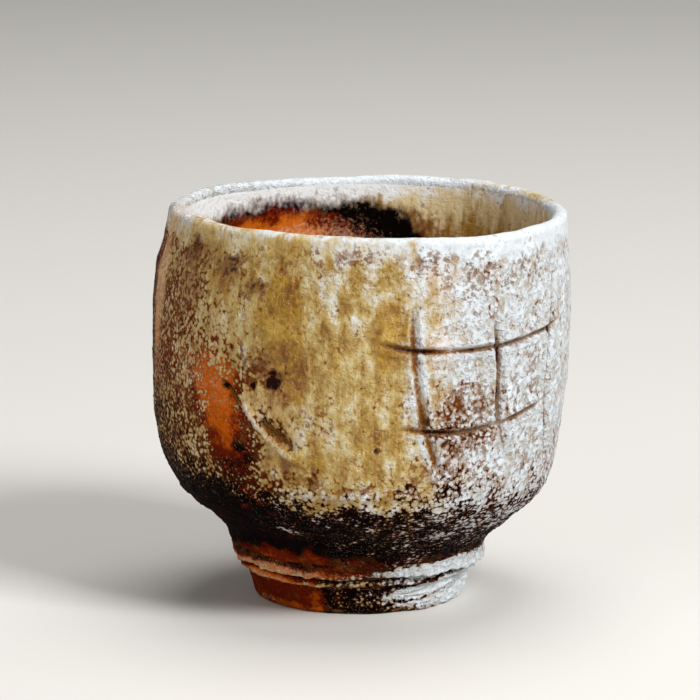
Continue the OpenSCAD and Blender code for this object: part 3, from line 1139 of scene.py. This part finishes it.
    def height(self, on: Surface, grain: Socket, cover: Socket, hill: Socket) -> Socket:
        """Add up the fine relief: the ash's edge, its grain, its pebbles and the clay's grit.

        Args:
            on: Bench, place and masks.
            grain: The ash's grain.
            cover: Where the ash covers the clay.
            hill: The crust's pebbles.

        Returns:
            The height in millimetres, low where the glass fused smooth.
        """
        add = on.bench.add
        grit = add("TexNoise", named={"Vector": on.place, "Scale": 1 / self.grit, "Detail": 2.0,
                                      "Roughness": 0.6})
        height = add("Math", grit, 0.09, operation="MULTIPLY")
        height = add("Math", cover, 0.14, height, operation="MULTIPLY_ADD")
        rugged = add("MapRange", on.mask[Mask.BONE], 0.0, 0.8, 0.35, 0.2)
        height = add("Math", grain, rugged, height, operation="MULTIPLY_ADD")
        pebbles = add("MapRange", on.mask[Mask.BONE], 0.0, 0.8, 0.18, 0.26)
        pebbles = add("Math", hill, pebbles, operation="MULTIPLY")
        height = add("Math", pebbles, cover, height, operation="MULTIPLY_ADD")
        fused = add("MapRange", on.mask[Mask.ASH], 1.9, 2.7, 1.0, 0.35)
        return add("Math", height, fused, operation="MULTIPLY")


WALL_ASH = WoodAshGlaze("wood_ash_glaze")

# Inside the cup the ash fell thinner and settled softer. Its whites and creams are lighter than the wall's,
# partly a whiter crust under the lip and partly painted light, making up for the dimmer light inside the cup.
SHELTERED_ASH_WITH_PAINTED_LIGHT = WoodAshGlaze(
    "sheltered_ash_glaze_with_painted_light", flash="#ca6412", cream="#ede3c8", buff="#dcc796", tan="#b08c50", white="#f2f6fa",
    bone="#ebebe8", valley_tint_and_shade="#e2dac8", speck=1.1, grainy=1.4, dotted=0.6, drawn=1.4, sharp=0.7, spray=0.2,
    calm=0.45, relief=0.3,
)


@dataclass
class AshWall:
    """The coat of ash glass over the outside wall and the lip, with the clay's marks showing through.

    Tuck is how far the coat reaches in behind the collar, and thinnest is how much of it the marks leave.
    """

    form: CupForm
    columns: int = 430
    rows: int = 212
    back_rows: int = 18
    front_share: float = 0.45
    tuck: float = 0.9
    thinnest: float = 0.12
    deepest: float = 0.8
    shape: tuple[Swell, ...] = (Swell(22.0, 1.7, 0.32), Swell(7.0, 5.3, 0.2))
    lumps: tuple[Swell, ...] = (Swell(3.2, 9.1, 0.6), Swell(1.5, 19.1, 0.4))
    drawn: Swell = Swell((9.0, 9.0, 1.3), 13.9, 0.5)
    ragged: Swell = Swell(1.1, 44.0, 1.1)
    press: Swell = Swell(5.0, 33.0, 0.5)
    crumbled: Swell = Swell(1.6, 55.0, 0.5)
    ridge: Stroke = Stroke(((-36, 47.6), (-30.5, 43), (-24, 38), (-15, 33.4)), 0.5, 0.0, 0.65)
    gash: tuple[Stroke, ...] = (
        Stroke(((-41.5, 49.6), (-38.5, 48.6), (-34.5, 46), (-33, 44.6)), 0.42, 0.6, stain_and_shade=0.85, crust=0.0),
        Stroke(((-29, 43.2), (-25, 40.8), (-21, 38.8), (-17, 36.8)), 1.0, 0.6, stain_and_shade=0.5, crust=0.0),
    )
    cuts: tuple[Stroke, ...] = (
        Stroke(((12, 68), (13.5, 56), (17.5, 42), (25, 28)), 0.75, 0.8, 0.45, stain_and_shade=0.6),
        Stroke(((36, 64), (39, 53), (41, 42), (48, 31)), 0.7, 0.8, 0.5),
        Stroke(((61, 68), (60.5, 54), (62.5, 40), (68, 27)), 0.7, 0.8, 0.5),
        Stroke(((2, 58.5), (16, 56.6), (38, 56.4), (72, 58.9)), 0.65, 0.8, 0.55, stain_and_shade=0.85),
        Stroke(((9, 41.6), (28, 40), (48, 41.4), (74, 45.4)), 0.65, 0.8, 0.55, stain_and_shade=0.85),
    )
    pits: tuple[Patch, ...] = (
        Patch(-24.5, 50.5, 1.8, 2.0, -0.45, hard=3),
        Patch(-30.5, 49.4, 0.9, 1.3, -0.32, hard=3),
        Patch(-21.5, 39.2, 1.6, 2.8, -0.2, tip=40, hard=3),
        Patch(-39, 48.2, 0.6, 1.1, -0.3, tip=50, hard=3),
        Patch(5, 37.3, 0.8, 0.6, -0.4, hard=4),
    )
    drops: tuple[Patch, ...] = (
        Patch(-26.5, 18.9, 1.8, 0.95, 0.35, tip=-12, hard=3),
        Patch(-47.2, 63.8, 0.8, 1.8, 0.3, tip=15, hard=3),
        Patch(-35.5, 37.6, 1.0, 1.4, 0.3, hard=3),
        Patch(-2, 27.6, 14, 0.8, 0.3, hard=3),
        Patch(-75.5, 65, 1.6, 14, 0.45, hard=3),
        Patch(-42.2, 48.6, 0.6, 0.5, 0.25, hard=3),
    )

    def build(self, finish: Material) -> Skin:
        """Make the skin, its marks and its masks.

        Args:
            finish: Its material.

        Returns:
            The dressed skin.
        """
        form = self.form
        outline = form.outside()
        tucked = outline[0] - np.array([0.5, 1.0]) * self.tuck
        outline = spaced(np.concatenate([tucked[None], outline]), self.rows)
        run = run_along(outline)
        turn = round_turns(self.columns, self.front_share)
        r, z, t, rows = form.turned(outline, turn)
        wall = outline[:int(np.argmax(outline[:, 1] >= form.lip_z))]
        survey = Survey(t, z, np.broadcast_to(run[:, None], r.shape), r, wall[:, 1], run[:len(wall)])
        masks = OUTSIDE.read(survey, rows)
        lift = self.marks(survey, rows, masks) + self.hand(rows, masks)
        lift = np.maximum(lift, self.thinnest - form.coat_depth(outline)[:, None])
        lift *= ease((run[-1] - run) / 1.5)[:, None]
        back = spaced(inset(outline, form.coat_depth(outline)), self.back_rows)[::-1]
        lining = form.turned(back, turn)[3]
        skin = Skin("ash_wall", np.concatenate([raised(rows, lift), lining]), sharp=(self.rows - 1,))
        return skin.dress(masks, finish)

    def marks(self, survey: Survey, rows: Grid, masks: dict[Mask, Grid]) -> Grid:
        """Work out the strokes, pits and drops, and note them in the masks.

        Args:
            survey: Where the vertices lie on the cup.
            rows: The vertices.
            masks: The masks, which change.

        Returns:
            The marks' height at each vertex.
        """
        pits = survey.patches(self.pits)
        ragged = 1.0 + self.ragged.over(rows)
        lift = pits * np.clip(ragged, 0.2, 2.0) + survey.patches(self.drops)
        # The ash burst off the pits and left them black.
        cut = np.clip(-pits * 2.8 * ragged, 0.0, 1.0)
        masks[Mask.ASH] -= 1.2 * cut
        masks[Mask.CHAR] += cut
        press = 1.0 + self.press.over(rows)
        deep, high = np.zeros_like(lift), np.zeros_like(lift)
        # Each furrow is coloured dark, partly as pooled glass and partly as painted shade, and its burr
        # paler, partly as ash and partly as a painted highlight.
        for stroke in self.cuts + self.gash:
            furrow, bank = survey.stroke(stroke)
            deep = np.maximum(deep, stroke.depth * furrow * press)
            high = np.maximum(high, stroke.burr * bank * press)
            cut = np.maximum(cut, furrow * stroke.stain_and_shade * press)
            masks[Mask.BONE] += stroke.crust * bank
            masks[Mask.SMOKE] -= stroke.crust * bank
        # Where two strokes cross, the later furrow cuts through the burr of the first.
        lift += high * np.clip(1.0 - 3.0 * deep, 0.0, 1.0) - np.minimum(deep, self.deepest)
        ridge = survey.stroke(self.ridge)[0]
        lift += self.ridge.burr * ridge * (1.0 + self.crumbled.over(rows))
        masks[Mask.ASH] += 1.2 * ridge
        masks[Mask.BONE] += 0.45 * ridge
        masks[Mask.CUT] = cut
        return lift

    def hand(self, rows: Grid, masks: dict[Mask, Grid]) -> Grid:
        """Work out the wall's swells, its dragged grit and the crust's lumps, which calm down at the lip.

        Args:
            rows: The vertices.
            masks: The masks, which get the lumps.

        Returns:
            Their height at each vertex.
        """
        lumps = rolled(rows, self.lumps) * (1.0 - 0.6 * ease((rows[..., 2] - 73.5) / 3.0))
        masks[Mask.HILL] = 1.6 * lumps
        lift = rolled(rows, self.shape) + lumps * (0.2 + 0.14 * np.clip(masks[Mask.BONE], 0.0, 1.0))
        return lift + np.clip(masks[Mask.DRAG], 0.0, 1.0) * self.drawn.over(rows)


@dataclass
class Liner:
    """The coat inside the cup."""

    form: CupForm
    columns: int = 430
    rows: int = 150
    back_rows: int = 34
    front_share: float = 0.45
    shape: tuple[Swell, ...] = (Swell(9.0, 2.9, 0.12), Swell(2.0, 4.1, 0.04))

    def build(self, finish: Material) -> Skin:
        """Make the skin and its masks.

        Args:
            finish: Its material.

        Returns:
            The dressed skin.
        """
        form = self.form
        outline = spaced(form.inside(), self.rows)
        run = run_along(outline)
        turn = round_turns(self.columns, self.front_share)
        r, z, t, rows = form.turned(outline[:-1], turn)
        order = np.argsort(outline[:, 1])
        survey = Survey(t, z, np.broadcast_to(run[:-1, None], r.shape), r, outline[order, 1], run[order])
        masks = INSIDE.read(survey, rows)
        skin = raised(rows, rolled(rows, self.shape) * ease(run[:-1] / 2.0)[:, None])
        back = spaced(inset(outline, form.liner_coat), self.back_rows)
        lining = form.turned(back[-2:0:-1], turn)[3]
        unseen = np.zeros(lining.shape[:2])
        masks = {mask: np.concatenate([unseen, values]) for mask, values in masks.items()}
        poles = (form.pole(back[-1, 1]), form.pole(outline[-1, 1]))
        made = Skin("liner_coat", np.concatenate([lining, skin]), poles, sharp=(len(lining),))
        return made.dress(masks, finish)


@dataclass(frozen=True)
class Ridge:
    """A ragged ridge of squeezed clay, by turn: how high up it lies and how far it stands out."""

    stops: tuple[tuple[float, float, float], ...]
    strays: tuple[Swell, ...]
    bulges: tuple[Swell, ...]

    def trace(self, turn: Grid, ring: Grid) -> tuple[Grid, Grid]:
        """Follow the ridge round the cup.

        Args:
            turn: Turn of each vertex.
            ring: Place of each vertex, at height 0.

        Returns:
            The ridge's rise, and how far it stands out, at each vertex.
        """
        stops = np.array(self.stops)
        rise = np.interp(turn, stops[:, 0], stops[:, 1]) + rolled(ring, self.strays)
        return rise, np.interp(turn, stops[:, 0], stops[:, 2]) * (1.0 + rolled(ring, self.bulges))


@dataclass
class JointCollar:
    """The squeezed clay where the foot was joined on, torn into two ragged ridges."""

    form: CupForm
    columns: int = 440
    rows: int = 84
    back_rows: int = 6
    front_share: float = 0.2
    low_z: float = 5.0
    high_z: float = 11.4
    thick: float = 0.15
    haunch_z: float = 12.0
    haunch_out: float = 0.75
    ridges: tuple[Ridge, ...] = (
        Ridge(((-180, 9.2, 0.9), (-80, 9.5, 1.1), (-24, 9.0, 1.25), (8, 8.9, 0.8), (40, 9.3, 1.5),
               (80, 9.5, 1.8), (130, 9.3, 1.2), (180, 9.2, 0.9)),
              strays=(Swell(8.0, 21.0, 0.35), Swell(2.2, 31.0, 0.16)),
              bulges=(Swell(5.0, 41.0, 0.4), Swell(1.4, 51.0, 0.3))),
        Ridge(((-180, 6.7, 0.7), (-80, 7.0, 1.0), (-45, 6.7, 0.95), (-20, 6.6, 1.1), (5, 7.0, 0.75),
               (40, 6.7, 0.9), (80, 6.8, 1.3), (130, 6.7, 1.0), (180, 6.7, 0.7)),
              strays=(Swell(8.0, 22.0, 0.35), Swell(2.2, 32.0, 0.16)),
              bulges=(Swell(5.0, 42.0, 0.4), Swell(1.4, 52.0, 0.3))),
    )
    crumbs: Swell = Swell(1.3, 61.0, 0.16)
    frays: Swell = Swell(0.9, 71.0, 0.22)
    tears: tuple[Patch, ...] = (
        Patch(-21, 8.1, 1.1, 0.6, -1.0, tip=-20, hard=3),
        Patch(-15, 7.9, 1.1, 0.5, -0.9, hard=3),
        Patch(-24, 9.2, 1.0, 0.7, 0.5, tip=-50, hard=3),
        Patch(-17.5, 7.4, 0.7, 0.6, 0.6, hard=3),
        Patch(150, 9.0, 3.0, 0.8, -0.8, hard=3),
    )

    def core(self, z: Grid, depth: float = 0.0) -> Grid:
        """Draw the plain outline under the torn clay.

        Args:
            z: Heights to draw it at.
            depth: How far in it lies.

        Returns:
            Radius and height of each point.
        """
        form = self.form
        stops = np.array(((0.0, form.foot_r), (form.foot_h, form.foot_top_r), (form.neck_z, form.neck_r),
                          (self.haunch_z, form.neck_r + self.haunch_out)))
        return np.stack([np.interp(z, stops[:, 0], stops[:, 1]) - depth, z], axis=1)

    def build(self, finish: Material) -> Skin:
        """Make the skin and its masks.

        Args:
            finish: Its material.

        Returns:
            The dressed skin.
        """
        z = np.linspace(self.low_z, self.high_z, self.rows)
        turn = round_turns(self.columns, self.front_share)
        r, rise, t, rows = self.form.turned(self.core(z), turn)
        survey = Survey(t, rise, rise, r, z, z)
        masks = FOOTING.read(survey, rows)
        lift, crest, cleft = self.torn(survey, rows)
        # The clefts under the ridges are coloured dark, partly bare clay and partly painted shade under the
        # overhang; the crests carry more ash.
        masks[Mask.CUT] = np.clip(1.2 * cleft, 0.0, 1.0)
        masks[Mask.ASH] += 0.35 * crest - 0.9 * cleft
        masks[Mask.CHAR] += 0.6 * cleft - 0.3 * crest
        back = self.core(np.linspace(self.high_z, self.low_z, self.back_rows), self.thick)
        lining = self.form.turned(back, turn)[3]
        return Skin("torn_collar", np.concatenate([raised(rows, lift), lining])).dress(masks, finish)

    def torn(self, survey: Survey, rows: Grid) -> tuple[Grid, Grid, Grid]:
        """Tear the clay into its ridges.

        Args:
            survey: Where the vertices lie on the cup.
            rows: The vertices.

        Returns:
            How far the clay stands out, and where its crests and its clefts are.
        """
        ring = rows * np.array([1.0, 1.0, 0.0])
        lift, crest, cleft = (np.zeros_like(survey.rise) for _ in range(3))
        for ridge in self.ridges:
            rise, out = ridge.trace(survey.turn, ring)
            above = survey.rise - rise
            # A ridge is rounder above than below, and hangs over a narrow cleft.
            lift = np.maximum(lift, out * bell(above / np.where(above > 0, 0.95, 0.5)))
            crest = np.maximum(crest, bell(above / np.where(above > 0, 0.6, 0.35)))
            cleft = np.maximum(cleft, bell((above + 1.0) / 0.3) * np.clip(out, 0.0, 1.0))
        tears = survey.patches(self.tears)
        lift += np.abs(self.crumbs.over(rows)) + crest * self.frays.over(rows) + tears - 0.3 * cleft
        cleft = np.maximum(cleft, np.clip(-tears, 0.0, 1.0))
        ends = ease((survey.rise - self.low_z) / 0.7) * ease((self.high_z - survey.rise) / 0.7)
        return (lift + 0.12) * ends - 0.1 * (1.0 - ends), crest, cleft


@dataclass
class FootRing:
    """The flared foot, turned when leather-hard, and chipped where it stood on the kiln's wadding.

    Edge is the width of its rounded lower edges, and draft how much its hollow narrows upwards.
    """

    form: CupForm
    columns: int = 380
    rows: int = 170
    front_share: float = 0.2
    edge: float = 0.7
    draft: float = 1.2
    turning: tuple[Swell, ...] = (
        Swell(5.0, 3.3, 0.16), Swell((3.0, 3.0, 0.9), 5.9, 0.09), Swell(0.9, 8.3, 0.05),
    )
    crust: Swell = Swell((3.0, 3.0, 1.1), 14.0, 0.7)
    chips: tuple[Patch, ...] = (
        Patch(-12, 0.6, 1.6, 0.5, -0.35, hard=3),
        Patch(24, 0.5, 2.4, 0.5, -0.3, hard=3),
        Patch(-48, 0.6, 2.0, 0.5, -0.3, hard=3),
        Patch(120, 0.6, 2.6, 0.6, -0.35, hard=3),
        Patch(200, 0.6, 2.0, 0.5, -0.3, hard=3),
    )

    def outline(self) -> Grid:
        """Draw the ring's section.

        Returns:
            Radius and height of each point, round the section once.
        """
        form, edge = self.form, self.edge
        foot = form.foot_r
        well = foot - form.foot_w
        corners = ((foot - edge, 0.0), (foot - 0.3 * edge, 0.25 * edge), (form.foot_wall(edge), edge),
                   (form.foot_top_r, form.foot_h), (well - self.draft, form.foot_h), (well, edge),
                   (well + 0.3 * edge, 0.25 * edge), (well + edge, 0.0), (foot - edge, 0.0))
        return spaced(np.array(corners), self.rows)[:-1]

    def build(self, finish: Material) -> Skin:
        """Make the skin and its masks.

        Args:
            finish: Its material.

        Returns:
            The dressed skin.
        """
        form = self.form
        r, z, t, rows = form.turned(self.outline(), round_turns(self.columns, self.front_share))
        stops = np.array((0.0, form.foot_h))
        survey = Survey(t, z, z, r, stops, stops)
        masks = FOOTING.read(survey, rows)
        outer = r > form.foot_r - form.foot_w + self.edge
        chips = survey.patches(self.chips)
        crust = np.clip(masks[Mask.BONE], 0.0, 1.0) * np.abs(self.crust.over(rows))
        lift = rolled(rows, self.turning) + np.where(outer, chips + crust, 0.0)
        lift *= ease((form.foot_h - z) / 0.6)
        # Nothing grows down past the flat face that the cup rests on.
        lift = np.where(z < 0.01, np.minimum(lift, 0.0), lift)
        skin = raised(rows, lift, looped=True)
        skin[..., 2] = np.maximum(skin[..., 2], 0.0)
        masks[Mask.CUT] = np.clip(-chips * 1.5, 0.0, 0.5) * outer
        for mask, hollow in ((Mask.ASH, 0.1), (Mask.BONE, 0.0), (Mask.FLASH, 0.6)):
            masks[mask] = np.where(outer, masks[mask], hollow)
        return Skin("foot_ring_clay", skin).dress(masks, finish)


@dataclass
class BowlClay:
    """The bowl's own clay under its glaze.

    It is bare only in the foot's hollow, where the turning tool left a spiral groove round a knob.
    """

    form: CupForm
    columns: int = 240
    disc_rows: int = 52
    wall_rows: int = 36
    hole_r: float = 0.2
    well_r: float = 15.0
    pitch: float = 3.1
    groove: float = 0.28
    knob: float = 0.45
    knob_r: float = 2.4
    rough: Swell = Swell(2.2, 2.2, 0.1)
    flashed: Swell = Swell(8.0, 6.0, 0.25)

    def build(self, finish: Material) -> Skin:
        """Make the skin and its masks.

        Args:
            finish: Its material.

        Returns:
            The dressed skin.
        """
        form = self.form
        disc = np.linspace(self.hole_r, form.foot_top_r, self.disc_rows)
        base = np.stack([disc, np.full_like(disc, form.foot_h)], axis=1)
        outside = form.outside()
        outer = spaced(inset(outside, form.coat_depth(outside)), self.wall_rows)
        inner = spaced(inset(form.inside(), form.liner_coat), self.wall_rows)[1:]
        outline = np.concatenate([base, outer, inner])
        r, z, t, rows = form.turned(outline[:-1], round_turns(self.columns))
        bare = (z == form.foot_h) * ease((self.well_r - r) / 1.2)
        wind = (r / self.pitch - t / 360.0) % 1.0
        rows[..., 2] -= bare * (self.knob * bell(r / self.knob_r) - self.groove * bell((wind - 0.5) / 0.2)
                                + self.rough.over(rows))
        poles = (form.pole(form.foot_h - self.knob), form.pole(outline[-1, 1]))
        masks = {Mask.FLASH: 0.75 - 0.5 * bell((r - 13.5) / 3.0) + self.flashed.over(rows),
                 Mask.CHAR: 0.1 + 0.4 * bell((r - 14.5) / 2.0),
                 Mask.ASH: np.full(r.shape, 0.12)}
        return Skin("bowl_clay", rows, poles).dress(masks, finish)


@dataclass(frozen=True)
class AshBeads:
    """Grains of feldspar and drops of ash that stand out of the wall, scattered over it.

    Width is in millimetres. Each bead is as wide as that, times narrowest plus up to spread.
    """

    per_square_cm: float = 11.0
    width: float = 0.5
    spread: float = 0.5
    narrowest: float = 0.6
    shape: tuple[float, float, float] = (1.0, 1.5, 0.55)
    seed: int = 11
    inputs: tuple[tuple[str, str], ...] = (
        ("Wall", "NodeSocketGeometry"),
        ("Beads per square metre", "NodeSocketFloat"),
        ("Bead width", "NodeSocketFloat"),
        ("Width spread", "NodeSocketFloat"),
        ("Seed", "NodeSocketInt"),
        ("Finish", "NodeSocketMaterial"),
    )

    def tree(self) -> bpy.types.NodeTree:
        """Build the tree that scatters flattened beads where the grit mask is high.

        Returns:
            The tree, with its inputs unset.
        """
        tree = bpy.data.node_groups.new("scattered_beads", "GeometryNodeTree")
        for name, kind in self.inputs:
            tree.interface.new_socket(name=name, in_out="INPUT", socket_type=kind)
        tree.interface.new_socket(name="Beads", in_out="OUTPUT", socket_type="NodeSocketGeometry")
        add = NodeBench(tree, "").add
        given = add("NodeGroupInput").node.outputs
        grit = add("GeometryNodeInputNamedAttribute", Mask.GRIT.value, data_type="FLOAT")
        density = add("ShaderNodeMath", grit, given["Beads per square metre"], operation="MULTIPLY")
        points = add("GeometryNodeDistributePointsOnFaces",
                     named={"Mesh": given["Wall"], "Density": density, "Seed": given["Seed"]})
        bead = add("GeometryNodeMeshIcoSphere", named={"Radius": 0.5, "Subdivisions": 2})
        size = add("FunctionNodeRandomValue", data_type="FLOAT", named={"Seed": given["Seed"]})
        spread = add("ShaderNodeMath", size, given["Width spread"], self.narrowest, operation="MULTIPLY_ADD")
        width = add("ShaderNodeMath", spread, given["Bead width"], operation="MULTIPLY")
        shape = add("ShaderNodeVectorMath", self.shape, named={"Scale": width}, operation="SCALE")
        placed = add("GeometryNodeInstanceOnPoints",
                     named={"Points": points, "Instance": bead, "Scale": shape,
                            "Rotation": points.node.outputs["Rotation"]})
        real = add("GeometryNodeRealizeInstances", placed)
        smooth = add("GeometryNodeSetShadeSmooth", real)
        dressed = add("GeometryNodeSetMaterial", named={"Geometry": smooth, "Material": given["Finish"]})
        add("NodeGroupOutput", dressed)
        return tree

    def build(self, wall: Skin, finish: Material) -> bpy.types.Object:
        """Scatter the beads on a skin.

        Args:
            wall: The skin, with its grit mask.
            finish: The beads' material.

        Returns:
            The beads, as one plain mesh.
        """
        base = linked("bead_ground", wall.piece.data.copy())
        tree = self.tree()
        scatter = base.modifiers.new("scatter", "NODES")
        values = {"Beads per square metre": self.per_square_cm * 10000.0, "Bead width": self.width * MM,
                  "Width spread": self.spread, "Seed": self.seed, "Finish": finish}
        scatter.node_group = tree
        for item in tree.interface.items_tree:
            if item.in_out == "INPUT" and item.name in values:
                scatter[item.identifier] = values[item.name]
        graph = bpy.context.evaluated_depsgraph_get()
        mesh = bpy.data.meshes.new_from_object(base.evaluated_get(graph), depsgraph=graph)
        base.modifiers.remove(scatter)
        bpy.data.objects.remove(base)
        mesh.name = "ash_beads"
        return linked("ash_beads", mesh)


@dataclass(frozen=True)
class Lamp:
    """A soft square lamp: where it hangs and how wide it is, in metres, and its watts."""

    name: str
    place: tuple[float, float, float]
    size: float
    power: float


@dataclass(frozen=True)
class Studio:
    """The plain floor, the soft lamps and the camera, in metres."""

    distance: float = 0.900
    elevation: float = 11.0
    aim: tuple[float, float, float] = (-0.0016, 0.0, 0.0492)
    lens: float = 231.9
    floor_half: float = 6.0
    floor_colour: str = "#d8d5d0"
    floor_rough: float = 0.7
    sky_colour: str = "#dcdcda"
    sky_strength: float = 0.22
    lamps: tuple[Lamp, ...] = (
        Lamp("window", (0.85, -0.75, 0.95), 0.5, 23.0),
        Lamp("fill", (-1.0, -0.9, 0.5), 1.3, 5.8),
        Lamp("top", (0.1, 0.3, 1.25), 0.8, 9.0),
    )

    def set_up(self) -> None:
        """Make everything that isn't the cup."""
        bpy.context.scene.view_settings.view_transform = "Standard"
        self.camera()
        self.floor()
        self.sky()
        for lamp in self.lamps:
            self.hang(lamp)

    def face(self, thing: bpy.types.Object) -> None:
        """Turn a lamp or the camera towards the cup."""
        thing.rotation_euler = (Vector(self.aim) - thing.location).to_track_quat("-Z", "Y").to_euler()

    def camera(self) -> None:
        """Place the camera at the photograph's angle."""
        tilt = np.radians(self.elevation)
        camera = linked("camera", bpy.data.cameras.new("camera"))
        camera.data.lens = self.lens
        camera.location = Vector(self.aim) + Vector((0.0, -np.cos(tilt), np.sin(tilt))) * self.distance
        self.face(camera)
        bpy.context.scene.camera = camera

    def floor(self) -> None:
        """Lay the floor under the foot."""
        half = self.floor_half
        mesh = bpy.data.meshes.new("floor")
        mesh.from_pydata([(-half, -half, 0), (half, -half, 0), (half, half, 0), (-half, half, 0)], [],
                         [(0, 1, 2, 3)])
        material = bpy.data.materials.new("floor_paint")
        material.use_nodes = True
        shader = material.node_tree.nodes["Principled BSDF"]
        shader.inputs["Base Color"].default_value = linear(self.floor_colour)
        shader.inputs["Roughness"].default_value = self.floor_rough
        mesh.materials.append(material)
        linked("floor", mesh)

    def sky(self) -> None:
        """Light everything a little from all round."""
        world = bpy.data.worlds.new("studio")
        world.use_nodes = True
        bpy.context.scene.world = world
        shade = world.node_tree.nodes["Background"]
        shade.inputs["Color"].default_value = linear(self.sky_colour)
        shade.inputs["Strength"].default_value = self.sky_strength

    def hang(self, lamp: Lamp) -> None:
        """Hang a lamp so that it looks at the cup.

        Args:
            lamp: Its place, width and power.
        """
        light = bpy.data.lights.new(lamp.name, "AREA")
        light.size = lamp.size
        light.energy = lamp.power
        hung = linked(lamp.name, light)
        hung.location = lamp.place
        self.face(hung)


def place_piece(skin: Skin, node: str) -> None:
    """Put a finished piece under the root body, hide the CAD part that it replaces, and report it.

    Args:
        skin: The piece.
        node: The CAD node that it replaces.
    """
    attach(skin.piece, "root")
    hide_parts(node)
    LOG.info("%s: %d vertices in place of %s", skin.piece.name, skin.count, node)


def main() -> None:
    """Build the cup from its skins and set it in the studio."""
    logging.basicConfig(level=logging.INFO, format="%(message)s")
    form = CupForm()
    Studio().set_up()
    ash = WALL_ASH.make()
    wall = AshWall(form).build(ash)
    place_piece(wall, "ash_glaze")
    place_piece(Liner(form).build(SHELTERED_ASH_WITH_PAINTED_LIGHT.make()), "liner_glaze")
    place_piece(JointCollar(form).build(ash), "joint_collar")
    place_piece(FootRing(form).build(ash), "foot_ring")
    place_piece(BowlClay(form).build(ash), "bowl")
    beads = AshBeads().build(wall, ash)
    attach(beads, "root")
    LOG.info("%s: %d faces", beads.name, len(beads.data.polygons))


if __name__ == "__main__":
    main()
